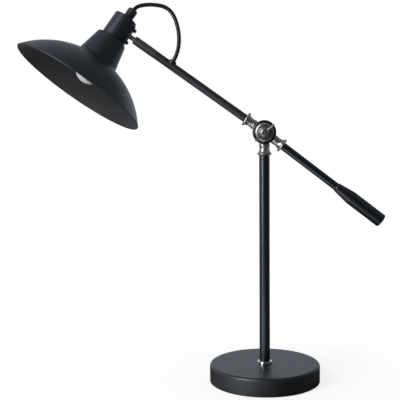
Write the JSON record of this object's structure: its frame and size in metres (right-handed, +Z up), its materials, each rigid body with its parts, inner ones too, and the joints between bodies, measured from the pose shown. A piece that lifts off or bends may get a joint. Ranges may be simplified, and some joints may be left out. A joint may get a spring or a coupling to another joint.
{
  "type": "swing arm desk lamp",
  "caption": "Desk lamp with a weighted round base, post, wing-nut knuckle, counterbalanced arm and a domed shade on a ball swivel.",
  "frame": {"origin": "centre of the base's underside, on the table", "axes": "+Z up along the post; the arm lies in the XZ plane with the shade towards -X and the counterweight towards +X; the wing nut faces -Y"},
  "size_m": [0.5437, 0.2161, 0.5755],
  "materials": {
    "satin_black": "satin",
    "cast_iron": "matte",
    "rubber": "matte",
    "black_plastic": "satin",
    "steel": "satin",
    "dark_chrome": "polished",
    "grey_sleeve": "satin",
    "brass": "satin",
    "opal_glass": "satin",
    "bulb_metal": "satin"
  },
  "bodies": {
    "stand": {"base_cover": "satin_black", "base_weight": "cast_iron", "base_pad": "rubber", "outlet_bush": "black_plastic", "base_washer": "steel", "base_nut": "steel", "base_nipple": "steel", "post_tube": "satin_black", "post_plug": "steel", "foot_collar": "dark_chrome", "post_ferrule": "dark_chrome", "post_flex": "black_plastic", "knuckle_rear": "dark_chrome", "pivot_bolt": "steel", "spring_washer": "steel"},
    "arm": {"knuckle_front": "dark_chrome", "knuckle_dish": "dark_chrome", "friction_washer": "black_plastic", "head_ferrule": "dark_chrome", "tail_ferrule": "dark_chrome", "head_tube": "satin_black", "tail_tube": "satin_black", "tail_stud": "steel", "counterweight": "satin_black", "arm_grommet": "rubber", "arm_flex": "black_plastic", "swivel_spindle": "steel", "seam_washer": "dark_chrome", "spindle_screw": "steel", "cable_loop": "black_plastic"},
    "wing_nut": {"wing_nut": "dark_chrome"},
    "swivel": {"swivel_sleeve": "grey_sleeve", "ball_stem": "steel"},
    "head": {"shade": "satin_black", "lamp_cap": "satin_black", "ball_saddle": "satin_black", "ball_clamp": "steel", "clamp_screws": "steel", "cable_gland": "black_plastic", "head_flex": "black_plastic", "lampholder": "black_plastic", "shade_ring": "black_plastic", "contact_shell": "brass", "bulb_glass": "opal_glass", "bulb_cap": "bulb_metal"}
  },
  "joints": [
    {"name": "arm_tilt", "type": "hinge", "parent": "stand", "child": "arm", "pos_m": [0, 0, 0.382], "axis": [0, 1, 0], "range_deg": [-75, 4]},
    {"name": "wing_nut_turn", "type": "hinge", "parent": "stand", "child": "wing_nut", "pos_m": [0, -0.016, 0.382], "axis": [0, -1, 0], "range_deg": [0, 180]},
    {"name": "head_roll", "type": "hinge", "parent": "arm", "child": "swivel", "pos_m": [-0.16201, 0, 0.49842], "axis": [-0.8121, 0, 0.5835], "range_deg": [-75, 45], "deforming": ["cable_loop"]},
    {"name": "head_tilt", "type": "hinge", "parent": "swivel", "child": "head", "pos_m": [-0.20302, 0, 0.52789], "axis": [-0.15, 0.9664, -0.2088], "range_deg": [-13.5, 16.5], "deforming": ["cable_loop"]}
  ]
}
